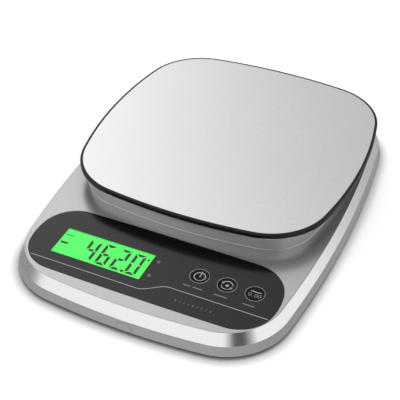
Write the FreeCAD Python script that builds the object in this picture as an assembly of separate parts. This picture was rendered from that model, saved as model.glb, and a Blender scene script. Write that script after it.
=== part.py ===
import FreeCAD, Part
import math
import os

from FreeCAD import Vector

# An electronic kitchen scale: a low base with a control panel at the front and a square
# weighing platform at the back. Millimetres. +Z is up, +Y points to the back of the scale,
# and the origin is on the table under the middle of the base.

UP = Vector(0, 0, 1)
ALONG_X = Vector(1, 0, 0)

# Heights above the table
UNDERSIDE_Z = 2.0  # flat underside of the bottom cover
FLOOR_Z = 4.0  # inside floor of the bottom cover
SPLIT_Z = 8.1  # bottom cover meets the trim band
SHELF_Z = 9.6  # top cover's skirt stands on the trim band here
DECK_UNDER_Z = 12.6
PANEL_SEAT_Z = 13.8
DECK_Z = 15.0  # deck and control panel
PLATEAU_UNDER_Z = 21.6
PLATEAU_Z = 23.6
TRAY_EDGE_Z = 26.6  # lower edge of the platform's black rim
TRAY_UNDER_Z = 27.2
PLATE_UNDER_Z = 28.7
PLATFORM_Z = 29.5

# How far each level of the side stands out from the deck's outline
BAND_TOP_OUT = 0.25
BAND_FOOT_OUT = 3.61
COVER_FOOT_OUT = 5.28
WALL = 2.0
SEAM = 0.15  # gap between parts of the housing

# The platform, the plateau under it and the load cell share a centre line
PLATFORM_Y = 31.1
RIM_WIDTH = 1.63
PLATEAU_Y = 29.0
TRAVEL = 0.6  # how far the platform sinks before it meets its stops

# Control panel
WINDOW_X = -29.6
WINDOW_Y = -83.0
WINDOW_WIDTH = 55.5
WINDOW_DEPTH = 20.6
BUTTON_NAMES = ("power", "mode", "tare")
FIRST_BUTTON_X = 27.3
BUTTON_PITCH = 16.24
BUTTON_Y = -77.3
BUTTON_R = 5.0
DISH_R = 18.0  # radius of the hollow in each button's top
DISH_DEPTH = 0.6
RING_IN_R = 5.25
RING_OUT_R = 5.62
FLANGE_R = 6.0
FLANGE_Z = 11.6
BUTTON_GUARD = 0.05  # cap stands this far below the panel

# Circuit board, hung from the deck
BOARD_Z = 5.9
BOARD_TOP_Z = 7.5
BOARD_X = (-69.5, 66.0)
BOARD_Y = (-98.0, -65.0)
BOARD_SCREWS = [(x, y) for x in (-66.0, 61.0) for y in (-93.0, -68.0)]
GLASS_Z = 10.3  # underside of the display glass
GLASS_LEDGE_Z = 12.4  # its lower pane has a ledge for the connector strips
GLASS_TOP_Z = 14.35
WINDOW_UNDER_Z = 14.4
SOCKET_Y = -67.8
GAUGE_SOCKET_X = 9.0
POWER_SOCKET_X = 20.0
SOCKET_LEAD_Z = 9.7

# Load cell: a beam along X, fixed at its -X end and carrying the platform at its +X end
BEAM_LENGTH = 80.0
BEAM_SIDE = 12.7
BEAM_Z = 7.0
BEAM_TOP_Z = BEAM_Z + BEAM_SIDE
BEAM_HOLES = (23.0, 35.0)
BEAM_BORE_R = 4.5
BEAM_BORE_X = 6.0
END_X = 29.0
END_LENGTH = 20.0
PAD_Z = 6.0
M4_R = 2.0
M4_CLEAR_R = 2.3
M4_HEAD_R = 3.5

# Spider between load cell and platform
SPIDER_Z = 24.6
SPIDER_TOP_Z = 25.8
ARM_LENGTH = 150.0
ARM_WIDTH = 16.0
PAD_REACH = 68.0

# Fasteners and feet of the housing
HOUSING_POSTS = [(-70.0, -58.0), (70.0, -58.0), (-60.0, 80.0), (60.0, 80.0)]
POST_R = 4.5
SCREW_R = 1.5
SCREW_HEAD_R = 2.9
SCREW_HEAD_Z = 3.6
SLOT_WIDTH = 0.6  # each arm of the cross in a screw's head
FEET = [(x, y) for x in (-64.0, 64.0) for y in (-94.0, 97.0)]
FOOT_R = 7.0
FOOT_TOP_Z = 3.0
STOPS = [(x, PLATFORM_Y + y) for x in (-62.0, 62.0) for y in (-12.0, 12.0)]

# Battery compartment for two AAA cells along X
CELL_R = 5.25
CELL_LENGTH = 44.5
NUB_LENGTH = 1.0
CELL_Z = 9.65
CELL_ROWS = ((73.0, 1), (84.5, -1))  # y of each cell, and the side that its nub faces
CONTACT_X = 25.75  # inner face of the contact plates
CONTACT_THICK = 0.5
BAY_Y = (67.2, 90.3)
BAY_TOP_Z = 15.4
BAY_WALL = 1.5
TAG_REACH = 3.25

# Battery door, which swings down about its front edge
DOOR_HALF_WIDTH = 28.0
DOOR_Z = (2.05, 3.75)
DOOR_R = (DOOR_Z[1] - DOOR_Z[0]) / 2
HINGE_Y = 65.45
HINGE_Z = (DOOR_Z[0] + DOOR_Z[1]) / 2
DOOR_BACK_Y = 92.4
DOOR_GAP = 0.4
GRIP_GROOVES = 5
GRIP_PITCH = 1.7
TAB_X = 16.0
TAB_WIDTH = 6.0

# Latch tab in the front of the lower band
LATCH_X = 2.2
LATCH_WIDTH = 8.6
LATCH_HEIGHT = 4.6
LATCH_DEPTH = 1.4


class Outline:
    """A rounded rectangle whose four sides bulge: eight arcs, each tangent to the next."""

    def __init__(self, half_w, half_d, side_r, front_r, corner_r, centre=(0.0, 0.0)):
        self.half_w = half_w
        self.half_d = half_d
        self.side_r = side_r
        self.front_r = front_r
        self.corner_r = corner_r
        self.centre = centre

    def grown(self, by):
        sizes = (self.half_w, self.half_d, self.side_r, self.front_r, self.corner_r)
        return Outline(*(size + by for size in sizes), self.centre)

    def corner_centre(self):
        """Centre of the corner arc in the first quadrant."""
        side = Vector(self.half_w - self.side_r, 0, 0)
        front = Vector(0, self.half_d - self.front_r, 0)
        to_side = self.side_r - self.corner_r
        to_front = self.front_r - self.corner_r
        between = front - side
        along = (to_side**2 - to_front**2 + between.Length**2) / (2 * between.Length)
        across = math.sqrt(to_side**2 - along**2)
        unit = between / between.Length
        return side, front, side + unit * along + Vector(-unit.y, unit.x, 0) * across

    def wire(self, z):
        side, front, corner = self.corner_centre()
        side_end = side + (corner - side).normalize() * self.side_r
        front_end = front + (corner - front).normalize() * self.front_r
        outward = (side_end + front_end) / 2 - corner
        corner_mid = corner + outward.normalize() * self.corner_r
        right = [(side_end.x, -side_end.y), (self.half_w, 0)]
        corner_arc = [(side_end.x, side_end.y), (corner_mid.x, corner_mid.y)]
        back = [(front_end.x, front_end.y), (0, self.half_d)]
        quarter = right + corner_arc + back
        mirrored = [(-x, y) for x, y in (quarter[4], quarter[3], quarter[2], quarter[1])]
        ahead = [(-x, -y) for x, y in quarter[2:6]]
        front_right = [(x, -y) for x, y in (quarter[4], quarter[3])]
        ring = quarter + mirrored + ahead + front_right
        offset = Vector(*self.centre, z)
        points = [Vector(x, y, 0) + offset for x, y in ring]
        points.append(points[0])
        arcs = [Part.Arc(*points[i : i + 3]).toShape() for i in range(0, len(ring), 2)]
        return Part.Wire(arcs)

    def prism(self, low, high):
        return Part.Face(self.wire(low)).extrude(Vector(0, 0, high - low))


DECK = Outline(82.57, 114.72, 652.5, 406.4, 34.6)
PLATFORM = Outline(82.2, 81.2, 231.5, 322.5, 38.0, (0.0, PLATFORM_Y))
PLATEAU = Outline(77.5, 76.5, 226.8, 317.8, 29.3, (0.0, PLATEAU_Y))
PANEL = Outline(74.6, 25.85, 42.0, 3000.0, 21.5, (0.7, -80.95))


def tapered(outline, low_out, high_out, low, high):
    """A solid between two levels, standing out from the outline by its own amount at each."""
    wires = [outline.grown(low_out).wire(low), outline.grown(high_out).wire(high)]
    return Part.makeLoft(wires, True, True)


def block(x, y, z):
    """A box from three (low, high) pairs."""
    corner = Vector(x[0], y[0], z[0])
    return Part.makeBox(x[1] - x[0], y[1] - y[0], z[1] - z[0], corner)


def centred(x, y, width, depth, z):
    """A box from its middle in plan and its (low, high) in height."""
    return block((x - width / 2, x + width / 2), (y - depth / 2, y + depth / 2), z)


def rod(x, y, radius, low, high):
    return Part.makeCylinder(radius, high - low, Vector(x, y, low), UP)


def rod_x(y, z, radius, low, high):
    return Part.makeCylinder(radius, high - low, Vector(low, y, z), ALONG_X)


def cross_recess(x, y, reach, low, high):
    """The cross that a driver turns, cut into a screw's head."""
    across = centred(x, y, 2 * reach, SLOT_WIDTH, (low, high))
    return joined(across, centred(x, y, SLOT_WIDTH, 2 * reach, (low, high)))


def joined(first, *others):
    return first.multiFuse(list(others)).removeSplitter() if others else first


def rounded(shape, radius, wanted):
    """The shape with a fillet on each edge that wanted says yes to."""
    return shape.makeFillet(radius, [edge for edge in shape.Edges if wanted(edge)])


def level(edge, z):
    """True for an edge that lies flat at height z."""
    return abs(edge.BoundBox.ZMin - z) < 1e-4 and abs(edge.BoundBox.ZMax - z) < 1e-4


def button_x(index):
    return FIRST_BUTTON_X + index * BUTTON_PITCH


def each_button():
    return [button_x(index) for index in range(len(BUTTON_NAMES))]


# Housing


def latch_shape(out, foot):
    """The latch tab's arch, standing up from the lower edge of the band, seen from the front."""
    half = LATCH_WIDTH / 2 + out
    arch_r = 2.4 + out
    top = UNDERSIDE_Z + LATCH_HEIGHT + out
    y = DECK.half_d + COVER_FOOT_OUT + 1.0
    arch = block((LATCH_X - half, LATCH_X + half), (-y, -y + 10.0), (foot, top))
    return rounded(arch, arch_r, lambda edge: is_arch_corner(edge, top))


def is_arch_corner(edge, top):
    box = edge.BoundBox
    return box.YLength > 1.0 and box.XLength < 1e-4 and abs(box.ZMax - top) < 1e-4


def cover_outside():
    outside = tapered(DECK, COVER_FOOT_OUT, BAND_FOOT_OUT, UNDERSIDE_Z, SPLIT_Z)
    return rounded(outside, 0.5, lambda edge: level(edge, UNDERSIDE_Z))


def latch_slab(depth):
    """The outermost layer of the bottom cover's wall, to this depth."""
    inner = tapered(
        DECK, COVER_FOOT_OUT - depth, BAND_FOOT_OUT - depth, UNDERSIDE_Z, SPLIT_Z
    )
    return cover_outside().cut(inner)


def latch_tab():
    return latch_slab(LATCH_DEPTH - SEAM).common(latch_shape(0.0, UNDERSIDE_Z))


def battery_bay():
    wall_x = CONTACT_X + CONTACT_THICK + BAY_WALL
    wall_y = (BAY_Y[0] - BAY_WALL, BAY_Y[1] + BAY_WALL)
    return block((-wall_x, wall_x), wall_y, (DOOR_Z[1] + 0.05, BAY_TOP_Z + BAY_WALL))


def bay_cavity():
    half = CONTACT_X + CONTACT_THICK
    return block((-half, half), BAY_Y, (UNDERSIDE_Z, BAY_TOP_Z))


def door_recess():
    half = DOOR_HALF_WIDTH + DOOR_GAP
    y = (HINGE_Y - DOOR_R - DOOR_GAP, DOOR_BACK_Y + DOOR_GAP)
    recess = block((-half, half), y, (UNDERSIDE_Z, DOOR_Z[1] + 0.05))
    finger_notch = rod(0, DOOR_BACK_Y - 1.0, 9.0, UNDERSIDE_Z, UNDERSIDE_Z + 1.4)
    pockets = []
    for x in (-TAB_X, TAB_X):
        width = (x - TAB_WIDTH / 2 - DOOR_GAP, x + TAB_WIDTH / 2 + DOOR_GAP)
        pockets.append(block(width, (HINGE_Y - 3.3, HINGE_Y + 3.3), (3.0, 6.3)))
    return joined(recess, finger_notch, *pockets)


def bottom_cover():
    """Grey tray: floor, sloping wall, screw posts, battery bay and the load cell's pad."""
    inside = tapered(DECK, COVER_FOOT_OUT - WALL, BAND_FOOT_OUT - WALL, FLOOR_Z, SPLIT_Z)
    cover = cover_outside().cut(inside)
    posts = [rod(x, y, POST_R, FLOOR_Z - 0.5, SPLIT_Z - 0.1) for x, y in HOUSING_POSTS]
    pad = centred(-END_X, PLATFORM_Y, END_LENGTH + 4.0, 18.0, (FLOOR_Z - 0.5, PAD_Z))
    cover = joined(cover, pad, battery_bay(), *posts)
    holes = [bay_cavity(), door_recess(), latch_shape(SEAM, UNDERSIDE_Z - 0.1)]
    holes[2] = latch_slab(LATCH_DEPTH).common(holes[2])
    for x, y in FEET:
        holes.append(rod(x, y, FOOT_R + 0.2, UNDERSIDE_Z, FOOT_TOP_Z))
    for x, y in HOUSING_POSTS:
        holes.append(rod(x, y, SCREW_HEAD_R + 0.3, UNDERSIDE_Z, 5.5))
        holes.append(rod(x, y, SCREW_R + 0.2, UNDERSIDE_Z, SPLIT_Z))
    for x in BEAM_HOLES:
        holes.append(rod(-x, PLATFORM_Y, M4_HEAD_R + 0.4, UNDERSIDE_Z, 4.4))
        holes.append(rod(-x, PLATFORM_Y, M4_CLEAR_R, UNDERSIDE_Z, PAD_Z))
    wall_x = CONTACT_X + CONTACT_THICK
    for y, _ in CELL_ROWS:
        slot = (CELL_Z - 0.4, CELL_Z + 0.4)
        holes.append(block((wall_x, wall_x + BAY_WALL), (y - 1.5, y + 1.5), slot))
    return cover.cut(Part.makeCompound(holes))


def trim_band():
    """Bright sloping ring around the deck, with a shelf inside for the top cover."""
    ring = tapered(DECK, BAND_FOOT_OUT, BAND_TOP_OUT, SPLIT_Z, DECK_Z)
    ring = ring.cut(DECK.prism(SHELF_Z, DECK_Z))
    return ring.cut(DECK.grown(-2.5).prism(SPLIT_Z, SHELF_Z))


def top_cover():
    """Silver deck with the plateau, the panel's recess, and posts that reach down inside."""
    skirt = DECK.grown(-SEAM).prism(SHELF_Z, DECK_Z)
    skirt = skirt.cut(DECK.grown(-SEAM - WALL).prism(SHELF_Z, DECK_UNDER_Z))
    raised = rounded(
        PLATEAU.prism(DECK_UNDER_Z, PLATEAU_Z), 0.9, lambda edge: level(edge, PLATEAU_Z)
    )
    cover = joined(skirt, raised)
    cover = rounded(cover, 0.5, is_plateau_foot)
    cover = cover.cut(PLATEAU.grown(-WALL).prism(SHELF_Z, PLATEAU_UNDER_Z))
    added = []
    for x, y in HOUSING_POSTS:
        added.append(rod(x, y, POST_R, SPLIT_Z, ceiling_above(y) + 0.5))
    for x, y in BOARD_SCREWS:
        added.append(rod(x, y, 2.6, BOARD_TOP_Z, DECK_UNDER_Z + 0.5))
    for x, y in STOPS:
        added.append(rod(x, y, 3.0, PLATEAU_Z - 0.5, TRAY_UNDER_Z - TRAVEL - 0.1))
    cover = joined(cover, *added)
    holes = [PANEL.grown(SEAM).prism(PANEL_SEAT_Z, DECK_Z)]
    window = (WINDOW_X, WINDOW_Y, WINDOW_WIDTH + 2.0, WINDOW_DEPTH + 2.0)
    holes.append(centred(*window, (DECK_UNDER_Z, PANEL_SEAT_Z)))
    holes.append(load_post_hole())
    for x in each_button():
        holes.append(rod(x, BUTTON_Y, RING_IN_R, DECK_UNDER_Z, PANEL_SEAT_Z))
    for x, y in HOUSING_POSTS:
        holes.append(rod(x, y, SCREW_R, SPLIT_Z, DECK_UNDER_Z - 0.4))
    for x, y in BOARD_SCREWS:
        holes.append(rod(x, y, 1.0, BOARD_TOP_Z, DECK_UNDER_Z - 0.6))
    return cover.cut(Part.makeCompound(holes))


def is_plateau_foot(edge):
    box = edge.BoundBox
    inside = box.XMax < PLATEAU.half_w + 0.1 and box.YMax < PLATEAU_Y + PLATEAU.half_d + 0.1
    return level(edge, DECK_Z) and inside and box.YMin > PLATEAU_Y - PLATEAU.half_d - 0.1


def ceiling_above(y):
    """Underside of the top cover over this place: the deck's in front, the plateau's behind."""
    return DECK_UNDER_Z if y < PLATEAU_Y - PLATEAU.half_d else PLATEAU_UNDER_Z


def load_post_hole():
    size = (END_LENGTH + 3.5, BEAM_SIDE + 3.5)
    return centred(END_X, PLATFORM_Y, *size, (PLATEAU_UNDER_Z, PLATEAU_Z))


def housing_screws():
    screws = []
    for x, y in HOUSING_POSTS:
        head = rod(x, y, SCREW_HEAD_R, SCREW_HEAD_Z, 5.5)
        head = rounded(head, 0.7, lambda edge: level(edge, SCREW_HEAD_Z))
        drive = cross_recess(x, y, 1.6, SCREW_HEAD_Z, 4.6)
        shank = rod(x, y, SCREW_R, 5.5, DECK_UNDER_Z - 1.0)
        screws.append(joined(head.cut(drive), shank))
    return Part.makeCompound(screws)


def rubber_feet():
    feet = []
    for x, y in FEET:
        foot = rod(x, y, FOOT_R, 0.0, FOOT_TOP_Z)
        feet.append(rounded(foot, 0.6, lambda edge: level(edge, 0.0)))
    return Part.makeCompound(feet)


# Control panel and display


def control_panel():
    panel = PANEL.prism(PANEL_SEAT_Z, DECK_Z)
    panel = rounded(panel, 0.2, lambda edge: level(edge, DECK_Z))
    window = centred(WINDOW_X, WINDOW_Y, WINDOW_WIDTH, WINDOW_DEPTH, (PANEL_SEAT_Z, DECK_Z))
    holes = [rod(x, BUTTON_Y, RING_OUT_R + 0.02, PANEL_SEAT_Z, DECK_Z) for x in each_button()]
    return panel.cut(Part.makeCompound([window] + holes))


def display_window():
    size = (WINDOW_WIDTH - 0.06, WINDOW_DEPTH - 0.06)
    return centred(WINDOW_X, WINDOW_Y, *size, (WINDOW_UNDER_Z, DECK_Z))


def button_rings():
    rings = []
    for x in each_button():
        ring = rod(x, BUTTON_Y, RING_OUT_R, PANEL_SEAT_Z, DECK_Z + 0.1)
        ring = ring.cut(rod(x, BUTTON_Y, RING_IN_R, PANEL_SEAT_Z, DECK_Z + 0.1))
        rings.append(rounded(ring, 0.1, lambda edge: level(edge, DECK_Z + 0.1)))
    return Part.makeCompound(rings)


def button_cap(x):
    """Round cap with a dished top, and a flange that keeps it under the deck."""
    top = DECK_Z - BUTTON_GUARD
    cap = rounded(rod(x, BUTTON_Y, BUTTON_R, 12.0, top), 0.2, lambda edge: level(edge, top))
    flange = rod(x, BUTTON_Y, FLANGE_R, FLANGE_Z, DECK_UNDER_Z - 0.2)
    stem = rod(x, BUTTON_Y, 1.5, FLANGE_Z - 0.4, FLANGE_Z + 0.2)
    dish = Part.makeSphere(DISH_R, Vector(x, BUTTON_Y, top - DISH_DEPTH + DISH_R))
    return joined(cap, flange, stem).cut(dish)


def switch_stem(x):
    return rod(x, BUTTON_Y, 1.6, 9.2, FLANGE_Z - 0.4)


def tact_switches():
    switches = []
    for x in each_button():
        body = centred(x, BUTTON_Y, 6.0, 6.0, (BOARD_TOP_Z, 10.6))
        switches.append(body.cut(rod(x, BUTTON_Y, 1.9, 8.2, 10.6)))
    return Part.makeCompound(switches)


def display_glass():
    """Two panes: the lower one is wider, and the upper one stands in the panel's window."""
    size = (WINDOW_WIDTH - 0.3, WINDOW_DEPTH - 0.3)
    lower = centred(WINDOW_X, WINDOW_Y, 62.0, 27.0, (GLASS_Z, GLASS_LEDGE_Z))
    return joined(lower, centred(WINDOW_X, WINDOW_Y, *size, (GLASS_LEDGE_Z, GLASS_TOP_Z)))


def display_backlight():
    return centred(WINDOW_X, WINDOW_Y, 57.0, 21.0, (BOARD_TOP_Z, GLASS_Z))


def backlight_leds():
    leds = []
    for y in (-5.0, 5.0):
        leds.append(centred(WINDOW_X + 29.6, WINDOW_Y + y, 1.6, 3.0, (BOARD_TOP_Z, 9.3)))
    return Part.makeCompound(leds)


def display_holder():
    outside = centred(WINDOW_X, WINDOW_Y, 65.0, 29.6, (BOARD_TOP_Z, DECK_UNDER_Z))
    inside = centred(WINDOW_X, WINDOW_Y, 62.3, 27.3, (BOARD_TOP_Z, DECK_UNDER_Z))
    return outside.cut(inside)


def connector_strips():
    strips = []
    for y in (-12.1, 12.1):
        strips.append(centred(WINDOW_X, WINDOW_Y + y, 58.0, 2.0, (BOARD_TOP_Z, GLASS_Z)))
    return Part.makeCompound(strips)


def circuit_board():
    board = block(BOARD_X, BOARD_Y, (BOARD_Z, BOARD_TOP_Z))
    board = rounded(board, 6.0, lambda edge: edge.BoundBox.ZLength > 1.0)
    holes = [rod(x, y, 1.3, BOARD_Z, BOARD_TOP_Z) for x, y in BOARD_SCREWS]
    return board.cut(Part.makeCompound(holes))


def board_chips():
    processor = centred(12.0, -84.0, 10.0, 10.0, (BOARD_TOP_Z, 9.0))
    converter = centred(11.0, -94.0, 5.0, 6.0, (BOARD_TOP_Z, 9.0))
    crystal = centred(24.0, -94.0, 8.0, 3.6, (BOARD_TOP_Z, 10.8))
    capacitors = [rod(x, -93.0, 2.5, BOARD_TOP_Z, 12.0) for x in (38.0, 47.0)]
    return Part.makeCompound([processor, converter, crystal] + capacitors)


def board_screws():
    screws = []
    for x, y in BOARD_SCREWS:
        head = rod(x, y, 2.0, 4.7, BOARD_Z).cut(cross_recess(x, y, 1.2, 4.7, 5.3))
        screws.append(joined(head, rod(x, y, 1.0, BOARD_Z, 11.5)))
    return Part.makeCompound(screws)


def lead_sockets():
    sockets = []
    for x in (GAUGE_SOCKET_X, POWER_SOCKET_X):
        sockets.append(centred(x, SOCKET_Y, 8.0, 5.0, (BOARD_TOP_Z, 12.0)))
    return Part.makeCompound(sockets)


# Weighing mechanism and platform


def load_cell():
    """Square aluminium beam with two linked bores across it, so that its middle can bend."""
    half = BEAM_LENGTH / 2
    y = (PLATFORM_Y - BEAM_SIDE / 2, PLATFORM_Y + BEAM_SIDE / 2)
    beam = block((-half, half), y, (BEAM_Z, BEAM_TOP_Z))
    middle_z = (BEAM_Z + BEAM_TOP_Z) / 2
    bores = []
    for x in (-BEAM_BORE_X, BEAM_BORE_X):
        centre = Vector(x, y[0], middle_z)
        bores.append(Part.makeCylinder(BEAM_BORE_R, BEAM_SIDE, centre, Vector(0, 1, 0)))
    link = block((-BEAM_BORE_X, BEAM_BORE_X), y, (middle_z - 1.5, middle_z + 1.5))
    threads = []
    for x in BEAM_HOLES:
        threads.append(rod(-x, PLATFORM_Y, M4_R, BEAM_Z, BEAM_Z + 7.5))
        threads.append(rod(x, PLATFORM_Y, M4_R + 0.05, BEAM_TOP_Z - 7.5, BEAM_TOP_Z))
    return beam.cut(Part.makeCompound(bores + [link] + threads))


def strain_gauges():
    gauges = []
    for x in (-BEAM_BORE_X, BEAM_BORE_X):
        gauges.append(centred(x, PLATFORM_Y, 7.0, 5.0, (BEAM_Z - 0.3, BEAM_Z)))
        gauges.append(centred(x, PLATFORM_Y, 7.0, 5.0, (BEAM_TOP_Z, BEAM_TOP_Z + 0.3)))
    return Part.makeCompound(gauges)


def load_cell_shim():
    shim = centred(-END_X, PLATFORM_Y, END_LENGTH, BEAM_SIDE, (PAD_Z, BEAM_Z))
    holes = [rod(-x, PLATFORM_Y, M4_CLEAR_R, PAD_Z, BEAM_Z) for x in BEAM_HOLES]
    return shim.cut(Part.makeCompound(holes))


def load_cell_screws():
    screws = []
    for x in BEAM_HOLES:
        head = rod(-x, PLATFORM_Y, M4_HEAD_R, 2.3, 4.4)
        head = head.cut(cross_recess(-x, PLATFORM_Y, 2.2, 2.3, 3.5))
        screws.append(joined(head, rod(-x, PLATFORM_Y, M4_R, 4.4, BEAM_Z + 6.5)))
    return Part.makeCompound(screws)


def spider_arm(angle):
    arm = centred(0, 0, ARM_LENGTH, ARM_WIDTH, (SPIDER_Z, SPIDER_TOP_Z))
    arm.rotate(Vector(0, 0, 0), UP, angle)
    arm.translate(Vector(0, PLATFORM_Y, 0))
    return arm


def spider():
    """Cross-shaped plate with a post that stands on the load cell's free end."""
    thick = (SPIDER_Z, SPIDER_TOP_Z)
    hub = block((-20.0, END_X + 14.0), (PLATFORM_Y - 15.0, PLATFORM_Y + 15.0), thick)
    post = centred(END_X, PLATFORM_Y, END_LENGTH, BEAM_SIDE, (BEAM_TOP_Z, SPIDER_TOP_Z))
    body = joined(hub, post, spider_arm(45), spider_arm(-45))
    holes = [rod(x, PLATFORM_Y, M4_CLEAR_R, BEAM_TOP_Z, SPIDER_TOP_Z) for x in BEAM_HOLES]
    return body.cut(Part.makeCompound(holes))


def spider_screws():
    screws = []
    for x in BEAM_HOLES:
        head = rod(x, PLATFORM_Y, M4_HEAD_R, SPIDER_TOP_Z, 27.0)
        head = head.cut(cross_recess(x, PLATFORM_Y, 2.2, 26.2, 27.0))
        screws.append(joined(head, rod(x, PLATFORM_Y, M4_R, 13.0, SPIDER_TOP_Z)))
    return Part.makeCompound(screws)


def spider_pads():
    reach = PAD_REACH / math.sqrt(2)
    pads = []
    for x in (-reach, reach):
        for y in (PLATFORM_Y - reach, PLATFORM_Y + reach):
            pads.append(rod(x, y, 6.0, SPIDER_TOP_Z, TRAY_UNDER_Z))
    return Part.makeCompound(pads)


def platform_tray():
    """Black tray under the steel plate. Its edge is the rim that shows around the plate."""
    tray = PLATFORM.grown(RIM_WIDTH).prism(TRAY_EDGE_Z, PLATFORM_Z)
    tray = rounded(tray, 0.7, lambda edge: level(edge, PLATFORM_Z))
    tray = rounded(tray, 0.3, lambda edge: level(edge, TRAY_EDGE_Z))
    tray = tray.cut(PLATFORM.grown(0.05).prism(PLATE_UNDER_Z, PLATFORM_Z))
    return tray.cut(PLATFORM.grown(-WALL).prism(TRAY_EDGE_Z, TRAY_UNDER_Z))


def platform_plate():
    plate = PLATFORM.prism(PLATE_UNDER_Z, PLATFORM_Z)
    return rounded(plate, 0.25, lambda edge: level(edge, PLATFORM_Z))


# Batteries


def battery_cells():
    cells = []
    for y, side in CELL_ROWS:
        nub_end = side * CONTACT_X
        shoulder = nub_end - side * NUB_LENGTH
        base = shoulder - side * CELL_LENGTH
        can = rod_x(y, CELL_Z, CELL_R, min(base, shoulder), max(base, shoulder))
        nub = rod_x(y, CELL_Z, 2.0, min(shoulder, nub_end), max(shoulder, nub_end))
        cells.append(joined(can, nub))
    return Part.makeCompound(cells)


def battery_springs():
    """One helical spring at each cell's flat end, of wire with eight flats."""
    wire_r = 0.36
    coil_r = 2.6
    pitch = 1.5
    seated = CONTACT_X - wire_r - 0.05
    length = 2 * CONTACT_X - NUB_LENGTH - CELL_LENGTH - 2 * wire_r - 0.1
    corners = []
    for turn in range(9):
        angle = math.radians(45 * turn)
        corners.append(Vector(coil_r + wire_r * math.cos(angle), 0, wire_r * math.sin(angle)))
    springs = []
    for y, side in CELL_ROWS:
        section = Part.makePolygon(corners)
        coil = Part.Wire(Part.makeHelix(pitch, length, coil_r))
        spring = coil.makePipeShell([section], True, True)
        spring.rotate(Vector(0, 0, 0), Vector(0, 1, 0), 90 * side)
        spring.translate(Vector(-side * seated, y, CELL_Z))
        springs.append(spring)
    return Part.makeCompound(springs)


def battery_contacts():
    thick = (CONTACT_X, CONTACT_X + CONTACT_THICK)
    height = (5.5, 13.5)
    link = block((-thick[1], -thick[0]), (69.0, 88.5), height)
    contacts = [link]
    for y, _ in CELL_ROWS:
        plate = block(thick, (y - 4.0, y + 4.0), height)
        tag = (CELL_Z - 0.4, CELL_Z + 0.4)
        reach = (thick[0], thick[0] + TAG_REACH)
        contacts.append(joined(plate, block(reach, (y - 1.5, y + 1.5), tag)))
    return Part.makeCompound(contacts)


def battery_door():
    """Flat door. Its front edge is round about the hinge line, with two tabs behind the floor."""
    plate = block((-DOOR_HALF_WIDTH, DOOR_HALF_WIDTH), (HINGE_Y, DOOR_BACK_Y), DOOR_Z)
    edge = rod_x(HINGE_Y, HINGE_Z, DOOR_R, -DOOR_HALF_WIDTH, DOOR_HALF_WIDTH)
    tongue = rod(0, DOOR_BACK_Y - 4.0, 8.0, DOOR_Z[0], DOOR_Z[0] + 0.9)
    tabs = []
    for x in (-TAB_X, TAB_X):
        width = (x - TAB_WIDTH / 2, x + TAB_WIDTH / 2)
        tabs.append(block(width, (HINGE_Y - 2.85, HINGE_Y), (3.1, DOOR_Z[1])))
    grooves = []
    for index in range(GRIP_GROOVES):
        y = DOOR_BACK_Y - 3.0 - index * GRIP_PITCH
        grooves.append(centred(0, y, 14.0, 0.8, (DOOR_Z[0], DOOR_Z[0] + 0.35)))
    return joined(plate, edge, tongue, *tabs).cut(Part.makeCompound(grooves))


# Leads


def lead(points, radius):
    """A round lead along straight runs, with an arc at each bend between them."""
    points = [Vector(*point) for point in points]
    edges = []
    start = points[0]
    for before, here, after in zip(points, points[1:], points[2:]):
        back = before - here
        ahead = after - here
        cut = 0.45 * min(back.Length, ahead.Length)
        back.normalize()
        ahead.normalize()
        turn = math.pi - back.getAngle(ahead)
        bend_r = cut / math.tan(turn / 2)
        bisector = (back + ahead).normalize()
        centre = here + bisector * math.hypot(bend_r, cut)
        arc_start = here + back * cut
        arc_end = here + ahead * cut
        edges.append(Part.LineSegment(start, arc_start).toShape())
        edges.append(Part.Arc(arc_start, centre - bisector * bend_r, arc_end).toShape())
        start = arc_end
    edges.append(Part.LineSegment(start, points[-1]).toShape())
    path = Part.Wire(edges)
    section = Part.Wire(Part.Circle(points[0], points[1] - points[0], radius).toShape())
    return path.makePipeShell([section], True, False)


def gauge_lead():
    front_of_beam = PLATFORM_Y - BEAM_SIDE / 2
    socket_back = SOCKET_Y + 2.5
    return lead(
        [
            (-14.0, front_of_beam, 13.0),
            (-14.0, 4.0, 10.0),
            (-6.0, -22.0, 8.5),
            (9.0, -44.0, 9.0),
            (GAUGE_SOCKET_X, socket_back, SOCKET_LEAD_Z),
        ],
        1.2,
    )


def battery_leads():
    """Two wires side by side from the battery contacts to the board."""
    socket_back = SOCKET_Y + 2.5
    tag_end = CONTACT_X + TAG_REACH
    wires = []
    for index, (y, _) in enumerate(CELL_ROWS):
        spread = 3.0 * index
        route = [
            (tag_end, y, CELL_Z),
            (47.0 + spread, y - 2.0, 9.0),
            (50.0 + spread, 34.0, 7.0),
            (45.0 + spread, -10.0, 7.0),
            (25.0 + spread, -42.0, 8.0),
            (POWER_SOCKET_X - 1.5 + spread, socket_back, SOCKET_LEAD_Z),
        ]
        wires.append(lead(route, 0.75))
    return Part.makeCompound(wires)


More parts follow.
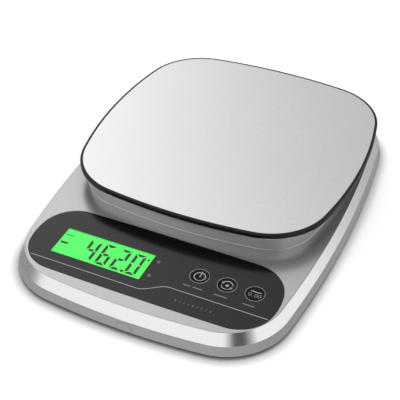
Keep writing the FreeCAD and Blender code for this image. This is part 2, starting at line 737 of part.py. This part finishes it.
SUBPARTS = {
    "bottom_cover": bottom_cover,
    "latch_tab": latch_tab,
    "trim_band": trim_band,
    "top_cover": top_cover,
    "housing_screws": housing_screws,
    "rubber_feet": rubber_feet,
    "control_panel": control_panel,
    "display_window": display_window,
    "button_rings": button_rings,
    "tact_switches": tact_switches,
    "display_glass": display_glass,
    "display_backlight": display_backlight,
    "backlight_leds": backlight_leds,
    "display_holder": display_holder,
    "connector_strips": connector_strips,
    "circuit_board": circuit_board,
    "board_chips": board_chips,
    "board_screws": board_screws,
    "lead_sockets": lead_sockets,
    "load_cell": load_cell,
    "strain_gauges": strain_gauges,
    "load_cell_shim": load_cell_shim,
    "load_cell_screws": load_cell_screws,
    "spider": spider,
    "spider_screws": spider_screws,
    "spider_pads": spider_pads,
    "platform_tray": platform_tray,
    "platform_plate": platform_plate,
    "battery_cells": battery_cells,
    "battery_springs": battery_springs,
    "battery_contacts": battery_contacts,
    "battery_door": battery_door,
    "gauge_lead": gauge_lead,
    "battery_leads": battery_leads,
}

os.makedirs("parts", exist_ok=True)
for node, make in SUBPARTS.items():
    make().exportStep(f"parts/{node}.step")
for index, name in enumerate(BUTTON_NAMES):
    button_cap(button_x(index)).exportStep(f"parts/{name}_button.step")
    switch_stem(button_x(index)).exportStep(f"parts/{name}_switch_stem.step")
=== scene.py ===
import math

import bmesh
import bpy
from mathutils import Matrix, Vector


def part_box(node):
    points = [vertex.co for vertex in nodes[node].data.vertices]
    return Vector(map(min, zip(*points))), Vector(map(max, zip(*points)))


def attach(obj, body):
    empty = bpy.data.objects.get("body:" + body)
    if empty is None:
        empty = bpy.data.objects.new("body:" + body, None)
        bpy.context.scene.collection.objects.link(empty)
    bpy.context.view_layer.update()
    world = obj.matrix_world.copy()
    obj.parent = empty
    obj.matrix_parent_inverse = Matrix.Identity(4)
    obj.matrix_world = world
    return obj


# The kitchen scale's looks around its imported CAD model. Metres; +Z is up, +Y is the back.
# Marks are drawn in millimetres, and become metres as their points are made.

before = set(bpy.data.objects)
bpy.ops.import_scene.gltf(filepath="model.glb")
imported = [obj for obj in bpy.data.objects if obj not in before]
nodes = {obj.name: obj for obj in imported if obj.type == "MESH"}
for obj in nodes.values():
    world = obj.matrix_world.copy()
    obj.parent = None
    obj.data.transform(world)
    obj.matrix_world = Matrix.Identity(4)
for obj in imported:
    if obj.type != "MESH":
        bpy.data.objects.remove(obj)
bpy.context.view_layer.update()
scene = bpy.context.scene

MM = 0.001

# Driving places, read from the frame, in millimetres
PANEL_LOW, PANEL_HIGH = (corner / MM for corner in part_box("control_panel"))
WINDOW_LOW, WINDOW_HIGH = (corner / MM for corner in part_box("display_window"))
DECK_Z = PANEL_HIGH.z
GLASS_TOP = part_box("display_glass")[1].z / MM
CAP_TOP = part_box("power_button")[1].z / MM


def middle(node):
    """Middle of a node's box, in millimetres."""
    low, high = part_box(node)
    return (low + high) / 2 / MM


# Camera, at the photograph's viewing angle

CAMERA_AZIMUTH = 24.63
CAMERA_ELEVATION = 39.70
CAMERA_DISTANCE = 573.5 * MM
CAMERA_LENS = 86.6
AIM = Vector((0.4, -18.3, DECK_Z)) * MM


def bearing(azimuth, elevation):
    """The way out to an azimuth, from the front towards +X, and an elevation, in degrees."""
    turn, rise = math.radians(azimuth), math.radians(elevation)
    level = math.cos(rise)
    return Vector((math.sin(turn) * level, -math.cos(turn) * level, math.sin(rise)))


def put_facing(made, place, target):
    """Puts a camera or a light in its place, turned to a target."""
    made.location = place
    made.rotation_mode = "QUATERNION"
    made.rotation_quaternion = (target - place).to_track_quat("-Z", "Y")
    scene.collection.objects.link(made)


def place_camera():
    data = bpy.data.cameras.new("camera")
    data.lens = CAMERA_LENS
    camera = bpy.data.objects.new("camera", data)
    back = bearing(CAMERA_AZIMUTH, CAMERA_ELEVATION)
    put_facing(camera, AIM + back * CAMERA_DISTANCE, AIM)
    scene.camera = camera


place_camera()
scene.view_settings.view_transform = "Standard"


# Node trees

EVEN = (1.0, 1.0, 1.0)
ALONG_X = (0.02, 1.0, 1.0)
WHITE = (1.0, 1.0, 1.0, 1.0)
MIX_FACTOR, MIX_FIRST, MIX_SECOND, MIX_COLOUR = 0, 6, 7, 2  # a Mix node's sockets for colours


class Tree:
    """A node tree with short ways to add nodes and join them."""

    def __init__(self, tree):
        self.tree = tree
        self.tree.nodes.clear()

    def feed(self, socket, value):
        """Joins an input to another node's output, or sets it to a number or colour."""
        if isinstance(value, bpy.types.NodeSocket):
            self.tree.links.new(value, socket)
        else:
            socket.default_value = value

    def add(self, kind, values=None, **settings):
        """A node, with its settings, and what its inputs are fed, by name or number."""
        node = self.tree.nodes.new(kind)
        for name, value in settings.items():
            setattr(node, name, value)
        for name, value in (values or {}).items():
            self.feed(node.inputs[name], value)
        return node

    def place(self, stretch=EVEN):
        """The point's place in the object, in metres, stretched along each axis."""
        where = self.add("ShaderNodeTexCoord").outputs["Object"]
        if stretch == EVEN:
            return where
        return self.add("ShaderNodeMapping", {"Vector": where, "Scale": stretch}).outputs[0]

    def noise(self, per_metre, detail=2.0, stretch=EVEN):
        values = {"Vector": self.place(stretch), "Scale": per_metre, "Detail": detail}
        return self.add("ShaderNodeTexNoise", values).outputs[0]

    def ranged(self, value, low, high, start=0.3, end=0.7, kind="LINEAR"):
        """The value taken from start-end to low-high."""
        values = {
            "Value": value,
            "From Min": start,
            "From Max": end,
            "To Min": low,
            "To Max": high,
        }
        return self.add("ShaderNodeMapRange", values, interpolation_type=kind).outputs[0]

    def maths(self, operation, first, second):
        return self.add("ShaderNodeMath", {0: first, 1: second}, operation=operation).outputs[0]

    def mixed(self, factor, first, second):
        """A colour between two others."""
        node = self.add("ShaderNodeMix", {MIX_FACTOR: factor}, data_type="RGBA")
        for index, colour in ((MIX_FIRST, first), (MIX_SECOND, second)):
            self.feed(node.inputs[index], (*colour, 1.0) if isinstance(colour, tuple) else colour)
        return node.outputs[MIX_COLOUR]


# Materials

FINE_DETAIL = 3.0
SLOW_NOISE = 18.0  # per metre: patches of a few centimetres
EDGE_SAMPLES = 4


def shade(colour, by):
    return tuple(min(1.0, channel * by) for channel in colour)


def finish_material(
    name,
    colour,
    roughness,
    grain,
    depth,
    stretch=EVEN,
    spread=0.04,
    drift=0.05,
    edge=0.0,
    shader=None,
):
    """A surface with fine grain in its height and roughness, and slow drift in its colour.

    grain is the fine noise in cycles per metre, stretch its stretch, and depth its height in
    millimetres. spread is how far the roughness changes each way, and drift the colour. edge is
    the radius of the softened edges in millimetres. shader holds values for other sockets.
    """
    material = bpy.data.materials.new(f"{name}_finish")
    material.use_nodes = True
    tree = Tree(material.node_tree)
    fine = tree.noise(grain, FINE_DETAIL, stretch)
    slow = tree.noise(SLOW_NOISE)
    blended = tree.maths("MULTIPLY", tree.maths("ADD", fine, slow), 0.5)
    shares = tree.ranged(blended, 0.0, 1.0)
    base = tree.mixed(shares, shade(colour, 1 - drift), shade(colour, 1 + drift))
    normal = {"Height": fine, "Distance": depth * MM, "Strength": 1.0}
    if edge:
        bevel = tree.add("ShaderNodeBevel", {"Radius": edge * MM}, samples=EDGE_SAMPLES)
        normal["Normal"] = bevel.outputs[0]
    values = {
        "Base Color": base,
        "Roughness": tree.ranged(fine, roughness - spread, roughness + spread),
        "Normal": tree.add("ShaderNodeBump", normal).outputs[0],
    }
    values.update(shader or {})
    surface = tree.add("ShaderNodeBsdfPrincipled", values)
    tree.add("ShaderNodeOutputMaterial", {"Surface": surface.outputs[0]})
    return material


METAL = {"Metallic": 1.0}

# Finishes that show from outside, named for the record's material slots
OUTSIDE = {
    "grey_cover": dict(
        colour=(0.33, 0.33, 0.335), roughness=0.5, grain=2600.0, depth=0.012, edge=0.2
    ),
    "bright_trim": dict(
        colour=(0.84, 0.84, 0.845), roughness=0.13, grain=900.0, depth=0.0004,
        spread=0.02, drift=0.01, edge=0.15, shader=METAL,
    ),
    "silver_deck": dict(
        colour=(0.565, 0.565, 0.57), roughness=0.27, grain=6000.0, depth=0.002,
        drift=0.02, shader={"Metallic": 0.8},
    ),
    "platform_steel": dict(
        colour=(0.91, 0.91, 0.91), roughness=0.3, grain=9000.0, stretch=ALONG_X, depth=0.00025,
        spread=0.05, drift=0.015, shader=METAL,
    ),
    "black_rim": dict(
        colour=(0.006, 0.006, 0.006), roughness=0.36, grain=2500.0, depth=0.003,
        shader={"Specular IOR Level": 0.3},
    ),
    "black_panel": dict(
        colour=(0.004, 0.004, 0.004), roughness=0.17, grain=700.0, depth=0.0002,
        spread=0.02, drift=0.3,
    ),
    "button_gloss": dict(
        colour=(0.004, 0.004, 0.004), roughness=0.14, grain=900.0, depth=0.0003,
        drift=0.2, shader={"Specular IOR Level": 0.16},
    ),
    "ring_silver": dict(
        colour=(0.4, 0.4, 0.405), roughness=0.3, grain=2000.0, depth=0.001, shader=METAL
    ),
    "clear_window": dict(
        colour=(0.97, 1.0, 0.98), roughness=0.06, grain=500.0, depth=0.0001,
        spread=0.02, drift=0.01, shader={"Transmission Weight": 1.0, "IOR": 1.2},
    ),
    "display_glass": dict(
        colour=(0.02, 0.3, 0.04), roughness=0.3, grain=3000.0, depth=0.001,
        shader={
            "Emission Color": (0.085, 0.92, 0.12, 1.0),
            "Emission Strength": 1.0,
            "Specular IOR Level": 0.1,
        },
    ),
    "screw_steel": dict(
        colour=(0.55, 0.55, 0.56), roughness=0.3, grain=3000.0, depth=0.002, shader=METAL
    ),
    "foot_rubber": dict(colour=(0.03, 0.03, 0.03), roughness=0.8, grain=1500.0, depth=0.02),
}

# Finishes of what is inside, named in the same way
INSIDE = {
    "black_moulding": dict(colour=(0.02, 0.02, 0.02), roughness=0.45, grain=2500.0, depth=0.01),
    "white_moulding": dict(colour=(0.75, 0.75, 0.73), roughness=0.4, grain=2500.0, depth=0.01),
    "green_backlight": dict(
        colour=(0.1, 0.8, 0.15), roughness=0.4, grain=2500.0, depth=0.004,
        shader={"Emission Color": (0.05, 0.6, 0.08, 1.0), "Emission Strength": 0.6},
    ),
    "elastomer": dict(
        colour=(0.6, 0.25, 0.33), roughness=0.6, grain=6000.0, stretch=(1.0, 0.05, 0.05),
        depth=0.01, drift=0.4,
    ),
    "board": dict(
        colour=(0.02, 0.16, 0.06), roughness=0.35, grain=1200.0, depth=0.01, drift=0.25
    ),
    "beam_aluminium": dict(
        colour=(0.75, 0.76, 0.77), roughness=0.35, grain=5000.0, stretch=ALONG_X, depth=0.004,
        shader=METAL,
    ),
    "gauge_film": dict(
        colour=(0.55, 0.3, 0.06), roughness=0.3, grain=3000.0, stretch=(1.0, 0.1, 1.0),
        depth=0.01, drift=0.3,
    ),
    "cell_jacket": dict(
        colour=(0.05, 0.09, 0.16), roughness=0.25, grain=2000.0, depth=0.002, drift=0.1
    ),
    "contact_steel": dict(
        colour=(0.75, 0.74, 0.71), roughness=0.25, grain=4000.0, stretch=ALONG_X, depth=0.002,
        shader=METAL,
    ),
    "lead_jacket": dict(colour=(0.3, 0.02, 0.02), roughness=0.4, grain=1500.0, depth=0.005),
    "spider_steel": dict(
        colour=(0.6, 0.6, 0.61), roughness=0.35, grain=800.0, depth=0.01, drift=0.12,
        shader=METAL,
    ),
}

# Finishes of the marks, which are this script's own
MARKS = {
    "ink": dict(colour=(0.36, 0.36, 0.37), roughness=0.5, grain=4000.0, depth=0.002),
    "faint_ink": dict(colour=(0.24, 0.24, 0.25), roughness=0.5, grain=4000.0, depth=0.002),
    "digit": dict(colour=(0.004, 0.012, 0.005), roughness=0.5, grain=4000.0, depth=0.001),
}

MATERIALS = {
    name: finish_material(name, **finish)
    for finishes in (OUTSIDE, INSIDE, MARKS)
    for name, finish in finishes.items()
}


def dress_nodes():
    """Gives each CAD node the finish that its material slot is named for."""
    for node in nodes.values():
        for slot in node.material_slots:
            slot.material = MATERIALS[slot.material.name]


dress_nodes()


# Marks: thin raised pieces, which are the print, the icons and the display's segments

MARK_THICK = 0.02
CLEAR_OF_GLASS = 0.01
DOT_STEPS = 20
ARC_STEPS = 20


def on_panel(x, y):
    """Height of the panel's flat top at any place in plan."""
    return DECK_Z


def on_glass(x, y):
    """Height of the display's segments at any place in plan."""
    return GLASS_TOP + CLEAR_OF_GLASS


def around(x, y, radius, turn):
    """A point at a distance from another, at an angle in radians."""
    return (x + radius * math.cos(turn), y + radius * math.sin(turn))


def arc(x, y, radius, start, end, steps=ARC_STEPS):
    """Points along an arc, from one angle to another in degrees."""
    turns = [math.radians(start + (end - start) * step / steps) for step in range(steps + 1)]
    return [around(x, y, radius, turn) for turn in turns]


def oval(x, y, half_width, half_height):
    turns = [2 * math.pi * step / DOT_STEPS for step in range(DOT_STEPS)]
    return [(x + half_width * math.cos(turn), y + half_height * math.sin(turn)) for turn in turns]


def raise_face(data, outline, surface):
    """A flat mark with this outline, standing on a surface."""
    low = [data.verts.new(Vector((x, y, surface(x, y))) * MM) for x, y in outline]
    high = [data.verts.new(vert.co + Vector((0, 0, MARK_THICK * MM))) for vert in low]
    data.faces.new(reversed(low))
    data.faces.new(high)
    for index, vert in enumerate(low):
        before = index - 1
        data.faces.new((low[before], vert, high[index], high[before]))


def raise_line(data, points, surface, width, closed=False):
    """A mark of even width along a line of points, standing on a surface."""
    rows = []
    count = len(points)
    for index, point in enumerate(points):
        before = points[index - 1] if index or closed else point
        after = points[(index + 1) % count] if index < count - 1 or closed else point
        along = Vector((after[0] - before[0], after[1] - before[1])).normalized()
        side = Vector((-along.y, along.x)) * width / 2
        row = []
        for sign, lift in ((1, 0.0), (-1, 0.0), (-1, MARK_THICK), (1, MARK_THICK)):
            x = point[0] + side.x * sign
            y = point[1] + side.y * sign
            row.append(data.verts.new(Vector((x, y, surface(x, y) + lift)) * MM))
        rows.append(row)
    pairs = zip(rows, rows[1:] + rows[:1]) if closed else zip(rows, rows[1:])
    for first, second in pairs:
        for corner in range(4):
            after = (corner + 1) % 4
            data.faces.new((first[corner], first[after], second[after], second[corner]))
    if not closed:
        data.faces.new(reversed(rows[0]))
        data.faces.new(rows[-1])


def dash(data, x, y, length, surface, width):
    """A short level mark about its middle."""
    raise_line(data, [(x - length / 2, y), (x + length / 2, y)], surface, width)


def piece(name, data, material, body):
    """Makes an object of a mesh being built, and rides it on its body."""
    bmesh.ops.recalc_face_normals(data, faces=data.faces)
    mesh = bpy.data.meshes.new(name)
    data.to_mesh(mesh)
    data.free()
    mesh.materials.append(MATERIALS[material])
    made = bpy.data.objects.new(name, mesh)
    scene.collection.objects.link(made)
    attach(made, body)


# Panel print

WAVE_LEFT_Y = PANEL_LOW.y + 7.0
WAVE_RIGHT_Y = WAVE_LEFT_Y + 7.8
WAVE_ENDS = (PANEL_LOW.x + 7.6, PANEL_HIGH.x - 2.6)
WAVE_BEND = (0.0, 16.4)  # the line rises between these x
WAVE_STEPS = 28
WAVE_LINE = 0.42

LABEL_DROP = 9.3  # from a button's middle to its label
LABEL_DASHES = {"power_button": (4.2, 5.4), "mode_button": (7.6,), "tare_button": (6.8,)}
LABEL_GAP = 1.5
LABEL_LINE = 0.5

UNIT_X = WINDOW_HIGH.x + 3.9
UNIT_HEIGHTS = (WINDOW_HIGH.y - 3.9, WINDOW_LOW.y + 4.9)
UNIT_R = 0.75
UNIT_LINE = 0.35

TICK_START = middle("power_button").x - 4.2
TICK_Y = PANEL_LOW.y + 7.5
TICK_COUNT = 9
TICK_PITCH = 2.55
TICK_TALL = 1.5
TICK_SHORT = 0.8
TALL_EVERY = 4
TICK_LINE = 0.32


def wave_line():
    """The thin line across the panel, with its step up between display and buttons."""
    start, end = WAVE_BEND
    bend = []
    for step in range(WAVE_STEPS + 1):
        share = step / WAVE_STEPS
        rise = (WAVE_RIGHT_Y - WAVE_LEFT_Y) * (1 - math.cos(math.pi * share)) / 2
        bend.append((start + (end - start) * share, WAVE_LEFT_Y + rise))
    left = (WAVE_ENDS[0], WAVE_LEFT_Y)
    right = (WAVE_ENDS[1], WAVE_RIGHT_Y)
    data = bmesh.new()
    raise_line(data, [left] + bend + [right], on_panel, WAVE_LINE)
    piece("panel_wave_line", data, "ink", "base")


def label_marks():
    """A plain dash or two under each button."""
    data = bmesh.new()
    for name, lengths in LABEL_DASHES.items():
        button = middle(name)
        x = button.x - (sum(lengths) + LABEL_GAP * (len(lengths) - 1)) / 2
        for length in lengths:
            dash(data, x + length / 2, button.y - LABEL_DROP, length, on_panel, LABEL_LINE)
            x += length + LABEL_GAP
    piece("button_label_marks", data, "faint_ink", "base")


def unit_marks():
    """A small ring beside the display for each unit."""
    data = bmesh.new()
    for y in UNIT_HEIGHTS:
        ring = oval(UNIT_X, y, UNIT_R, UNIT_R)
        raise_line(data, ring, on_panel, UNIT_LINE, closed=True)
    piece("unit_marks", data, "faint_ink", "base")


def capacity_marks():
    """A row of ticks on the front of the panel, some of them tall."""
    data = bmesh.new()
    for index in range(TICK_COUNT):
        x = TICK_START + index * TICK_PITCH
        reach = (TICK_SHORT if index % TALL_EVERY else TICK_TALL) / 2
        raise_line(data, [(x, TICK_Y - reach), (x, TICK_Y + reach)], on_panel, TICK_LINE)
    piece("capacity_ticks", data, "faint_ink", "base")


wave_line()
label_marks()
unit_marks()
capacity_marks()


# Button icons, which follow the dished caps

DISH_R = 18.0
DISH_DEPTH = 0.6
ICON_LINE = 0.5
ICON_R = 3.1
ICON_STEP = 0.5  # between a straight line's points, so that it follows the dish

BACKWARDS = 90  # degrees
POWER_GAP = 8  # degrees, each side of the opening's middle
POWER_STEPS = 40
STROKE_STEPS = 8

ARROW_STARTS = (15, 195)  # degrees
ARROW_SWEEP = 138  # degrees
HEAD_SWEEP = 0.38  # radians
HEAD_HALF = 0.9
MODE_DOT_R = 0.9

BAR_RISE = 1.9
BAR_STEPS = 6  # each side of the middle
FIGURE_PLACES = (-2.65, 0.7, 2.9)
FIGURE_DROP = 0.8
FIGURE_HALF = (0.74, 1.2)
FIGURE_LINE = 0.3
FIGURE_POINT = (-1.1, -1.85)
FIGURE_POINT_R = 0.25


def dished(button):
    """Gives the height of a button's dished top at a place in plan."""

    def surface(x, y):
        out = math.hypot(x - button.x, y - button.y)
        return CAP_TOP - DISH_DEPTH + DISH_R - math.sqrt(DISH_R**2 - out**2)

    return surface


def power_icon(data, button, surface):
    """A ring open at the back, with a stroke through the opening."""
    start = BACKWARDS + POWER_GAP
    end = BACKWARDS + 360 - POWER_GAP
    ring = arc(button.x, button.y, ICON_R, start, end, POWER_STEPS)
    raise_line(data, ring, surface, ICON_LINE)
    stroke = [(button.x, button.y + step * ICON_STEP) for step in range(STROKE_STEPS + 1)]
    raise_line(data, stroke, surface, ICON_LINE)


def mode_icon(data, button, surface):
    """Two curved arrows round a dot."""
    for start in ARROW_STARTS:
        end = start + ARROW_SWEEP
        raise_line(data, arc(button.x, button.y, ICON_R, start, end), surface, ICON_LINE)
        turn = math.radians(end)
        head = [
            around(button.x, button.y, ICON_R, turn + HEAD_SWEEP),
            around(button.x, button.y, ICON_R + HEAD_HALF, turn),
            around(button.x, button.y, ICON_R - HEAD_HALF, turn),
        ]
        raise_face(data, head, surface)
    raise_face(data, oval(button.x, button.y, MODE_DOT_R, MODE_DOT_R), surface)


def tare_icon(data, button, surface):
    """A bar over the figures."""
    steps = range(-BAR_STEPS, BAR_STEPS + 1)
    bar = [(button.x + step * ICON_STEP, button.y + BAR_RISE) for step in steps]
    raise_line(data, bar, surface, ICON_LINE)


def tare_figures(data, button, surface):
    """A reading of nought."""
    for x in FIGURE_PLACES:
        ring = oval(button.x + x, button.y - FIGURE_DROP, *FIGURE_HALF)
        raise_line(data, ring, surface, FIGURE_LINE, closed=True)
    x, y = FIGURE_POINT
    point = oval(button.x + x, button.y + y, FIGURE_POINT_R, FIGURE_POINT_R)
    raise_face(data, point, surface)


ICONS = (
    ("power_icon", "power_button", power_icon, "ink"),
    ("mode_icon", "mode_button", mode_icon, "ink"),
    ("tare_icon", "tare_button", tare_icon, "ink"),
    ("tare_figures", "tare_button", tare_figures, "faint_ink"),
)


def button_icons():
    for name, body, draw, ink in ICONS:
        button = middle(body)
        data = bmesh.new()
        draw(data, button, dished(button))
        piece(name, data, ink, body)


button_icons()


# Display reading: seven-segment digits, and the marks round them

DIGIT_WIDTH = 6.9
DIGIT_HEIGHT = 16.8
DIGIT_PITCH = 9.35
STROKE = 1.9
SEGMENT_GAP = 0.5
SEGMENTS = {"4": "bcfg", "6": "acdefg", "2": "abdeg", "0": "abcdef"}
READING = "4620"
FIRST_DIGIT = (WINDOW_LOW.x + 16.9, WINDOW_LOW.y + 1.45)  # its lower left corner

POINT_BEFORE = 3  # the digit, counted from nought, that the point comes before
POINT_BACK = 1.4  # from that digit's corner back to the point's middle
POINT_RISE = 0.9
POINT_R = 1.0

# Middle, length and width of each dash
MINUS = (WINDOW_LOW.x + 3.2, WINDOW_LOW.y + 9.4, 4.8, 1.7)
TARE_DASH = (WINDOW_LOW.x + 3.4, WINDOW_HIGH.y - 4.6, 5.4, 0.7)

POINTER_TIP = (WINDOW_HIGH.x - 0.7, WINDOW_HIGH.y - 4.7)
POINTER_LENGTH = 1.8
POINTER_HALF = 1.2


def flipped(outline, sideways, upside):
    """An outline turned over within the digit's own rectangle."""
    return [
        (DIGIT_WIDTH - x if sideways else x, DIGIT_HEIGHT - y if upside else y)
        for x, y in outline
    ]


def segment_outlines():
    """Each segment's outline, with mitred ends, from the digit's lower left corner."""
    half = DIGIT_HEIGHT / 2
    inset = STROKE + SEGMENT_GAP
    end = half + SEGMENT_GAP / 2
    across = [
        (SEGMENT_GAP, DIGIT_HEIGHT),
        (DIGIT_WIDTH - SEGMENT_GAP, DIGIT_HEIGHT),
        (DIGIT_WIDTH - inset, DIGIT_HEIGHT - STROKE),
        (inset, DIGIT_HEIGHT - STROKE),
    ]
    upright = [
        (0.0, DIGIT_HEIGHT - SEGMENT_GAP),
        (0.0, end),
        (STROKE / 2, end),
        (STROKE, end + STROKE / 2),
        (STROKE, DIGIT_HEIGHT - inset),
    ]
    bar = [
        (inset - STROKE / 2, half),
        (inset, half + STROKE / 2),
        (DIGIT_WIDTH - inset, half + STROKE / 2),
        (DIGIT_WIDTH - inset + STROKE / 2, half),
        (DIGIT_WIDTH - inset, half - STROKE / 2),
        (inset, half - STROKE / 2),
    ]
    return {
        "a": across,
        "b": flipped(upright, True, False),
        "c": flipped(upright, True, True),
        "d": flipped(across, False, True),
        "e": flipped(upright, False, True),
        "f": upright,
        "g": bar,
    }


def digits(data):
    """The reading's digits, with their point."""
    outlines = segment_outlines()
    left, foot = FIRST_DIGIT
    for index, digit in enumerate(READING):
        x = left + index * DIGIT_PITCH
        for segment in SEGMENTS[digit]:
            outline = [(x + dx, foot + dy) for dx, dy in outlines[segment]]
            raise_face(data, outline, on_glass)
    point_x = left + POINT_BEFORE * DIGIT_PITCH - POINT_BACK
    raise_face(data, oval(point_x, foot + POINT_RISE, POINT_R, POINT_R), on_glass)


def pointer(data):
    """The small triangle that points to a unit."""
    x, y = POINTER_TIP
    base = x - POINTER_LENGTH
    raise_face(data, [(x, y), (base, y + POINTER_HALF), (base, y - POINTER_HALF)], on_glass)


def reading():
    """What the display shows: the digits, a minus sign, a dash over it, and the pointer."""
    data = bmesh.new()
    digits(data)
    for x, y, length, width in (MINUS, TARE_DASH):
        dash(data, x, y, length, on_glass, width)
    pointer(data)
    piece("display_reading", data, "digit", "base")


reading()


# Studio

# Soft changes in the light round the object: azimuth from the front towards +X, elevation,
# angles where each is full and where it has faded out, all in degrees, and its share of light.
# Neither reflections nor bounced light see the floor, so zones below the horizon count too.
LIGHT_ZONES = (
    (43.0, 4.0, 0.0, 14.0, 0.36),  # front right, a small dark patch
    (45.0, 4.0, 1.0, 26.0, 0.28),  # its soft edge
    (16.0, 48.0, 12.0, 38.0, 0.35),  # above the front
    (-90.0, -21.0, 13.0, 52.0, 0.32),  # left, low
    (-15.0, -45.0, 10.0, 45.0, 1.5),  # front, low and bright
    (105.0, -50.0, 10.0, 42.0, 0.2),  # right, low
    (168.0, -22.0, 8.0, 42.0, 0.48),  # back right, low
    (180.0, 30.0, 12.0, 33.0, 0.47),  # back
    (-140.0, 36.0, 6.0, 28.0, 1.28),  # back left, bright
    (-95.0, 62.0, 12.0, 46.0, 0.72),  # left, high
    (115.0, 42.0, 12.0, 50.0, 0.72),  # right, high
)
TOP_LIGHT = 5.2
TOP_LIGHT_SIZE = 0.9
TOP_LIGHT_PLACE = Vector((0.05, 0.2, 1.0))

FLOOR_HALF = 12.0
FLOOR_TONES = ((0.89, 0.89, 0.89), (0.91, 0.91, 0.91))
FLOOR_ROUGHNESS = (0.55, 0.65)
# The floor's glow is painted light: fainter near the middle, round the object, and full far away,
# where the floor shows white.
FLOOR_GLOW = (0.125, 0.7)
GLOW_REACH = (0.35, 1.1)  # the glow changes between these distances from the middle
# Ambient occlusion darkens the floor's colour and glow close to the object: a painted shadow.
SHADOW_REACH = 7 * MM
SHADOW_POWER = 1.5
SHADOW_SAMPLES = 8


def studio_light():
    """A white room with soft zones, which show in the glossy parts, and plain white behind."""
    world = bpy.data.worlds.new("studio")
    scene.world = world
    world.use_nodes = True
    world.cycles.sampling_method = "NONE"
    tree = Tree(world.node_tree)
    way = tree.add("ShaderNodeTexCoord").outputs["Generated"]
    light = 1.0
    for azimuth, elevation, full, faded, share in LIGHT_ZONES:
        values = {0: way, 1: bearing(azimuth, elevation)}
        towards = tree.add("ShaderNodeVectorMath", values, operation="DOT_PRODUCT").outputs[1]
        start, end = (math.cos(math.radians(angle)) for angle in (faded, full))
        zone = tree.ranged(towards, 1.0, share, start, end, "SMOOTHSTEP")
        light = tree.maths("MULTIPLY", light, zone)
    seen = tree.add("ShaderNodeLightPath").outputs["Is Camera Ray"]
    strength = tree.maths("MAXIMUM", light, seen)
    background = tree.add("ShaderNodeBackground", {"Color": WHITE, "Strength": strength})
    tree.add("ShaderNodeOutputWorld", {"Surface": background.outputs[0]})


def top_light():
    data = bpy.data.lights.new("top_light", "AREA")
    data.shape = "DISK"
    data.size = TOP_LIGHT_SIZE
    data.energy = TOP_LIGHT
    light = bpy.data.objects.new("top_light", data)
    light.visible_glossy = False
    put_facing(light, TOP_LIGHT_PLACE, Vector())


def floor_finish():
    """Pale, white far away, with painted shade and shadow close round the object, and clear from
    below.
    """
    material = bpy.data.materials.new("pale_floor_finish")
    material.use_nodes = True
    tree = Tree(material.node_tree)
    far = tree.add("ShaderNodeVectorMath", {0: tree.place()}, operation="LENGTH").outputs[1]
    # Painted shadow: ambient occlusion darkens the floor's colour and glow close to the object.
    painted_contact_shadow = tree.add(
        "ShaderNodeAmbientOcclusion", {"Distance": SHADOW_REACH}, samples=SHADOW_SAMPLES
    )
    open_sky = tree.maths("POWER", painted_contact_shadow.outputs["AO"], SHADOW_POWER)
    pale = tree.mixed(tree.noise(6.0), *FLOOR_TONES)
    # Painted light and shade: the glow is fainter near the middle, round the object.
    glow = tree.ranged(far, *FLOOR_GLOW, *GLOW_REACH, "SMOOTHSTEP")
    values = {
        "Base Color": tree.mixed(open_sky, (0.0, 0.0, 0.0), pale),
        "Roughness": tree.ranged(tree.noise(300.0), *FLOOR_ROUGHNESS),
        "Emission Color": WHITE,
        "Emission Strength": tree.maths("MULTIPLY", glow, open_sky),
    }
    top = tree.add("ShaderNodeBsdfPrincipled", values)
    clear = tree.add("ShaderNodeBsdfTransparent")
    behind = tree.add("ShaderNodeNewGeometry").outputs["Backfacing"]
    values = {0: behind, 1: top.outputs[0], 2: clear.outputs[0]}
    surface = tree.add("ShaderNodeMixShader", values)
    tree.add("ShaderNodeOutputMaterial", {"Surface": surface.outputs[0]})
    return material


def floor():
    data = bmesh.new()
    corners = ((-1, -1), (1, -1), (1, 1), (-1, 1))
    data.faces.new([data.verts.new((x * FLOOR_HALF, y * FLOOR_HALF, 0.0)) for x, y in corners])
    mesh = bpy.data.meshes.new("floor")
    data.to_mesh(mesh)
    data.free()
    mesh.materials.append(floor_finish())
    plane = bpy.data.objects.new("floor", mesh)
    plane.visible_glossy = False
    plane.visible_diffuse = False
    scene.collection.objects.link(plane)


studio_light()
top_light()
floor()
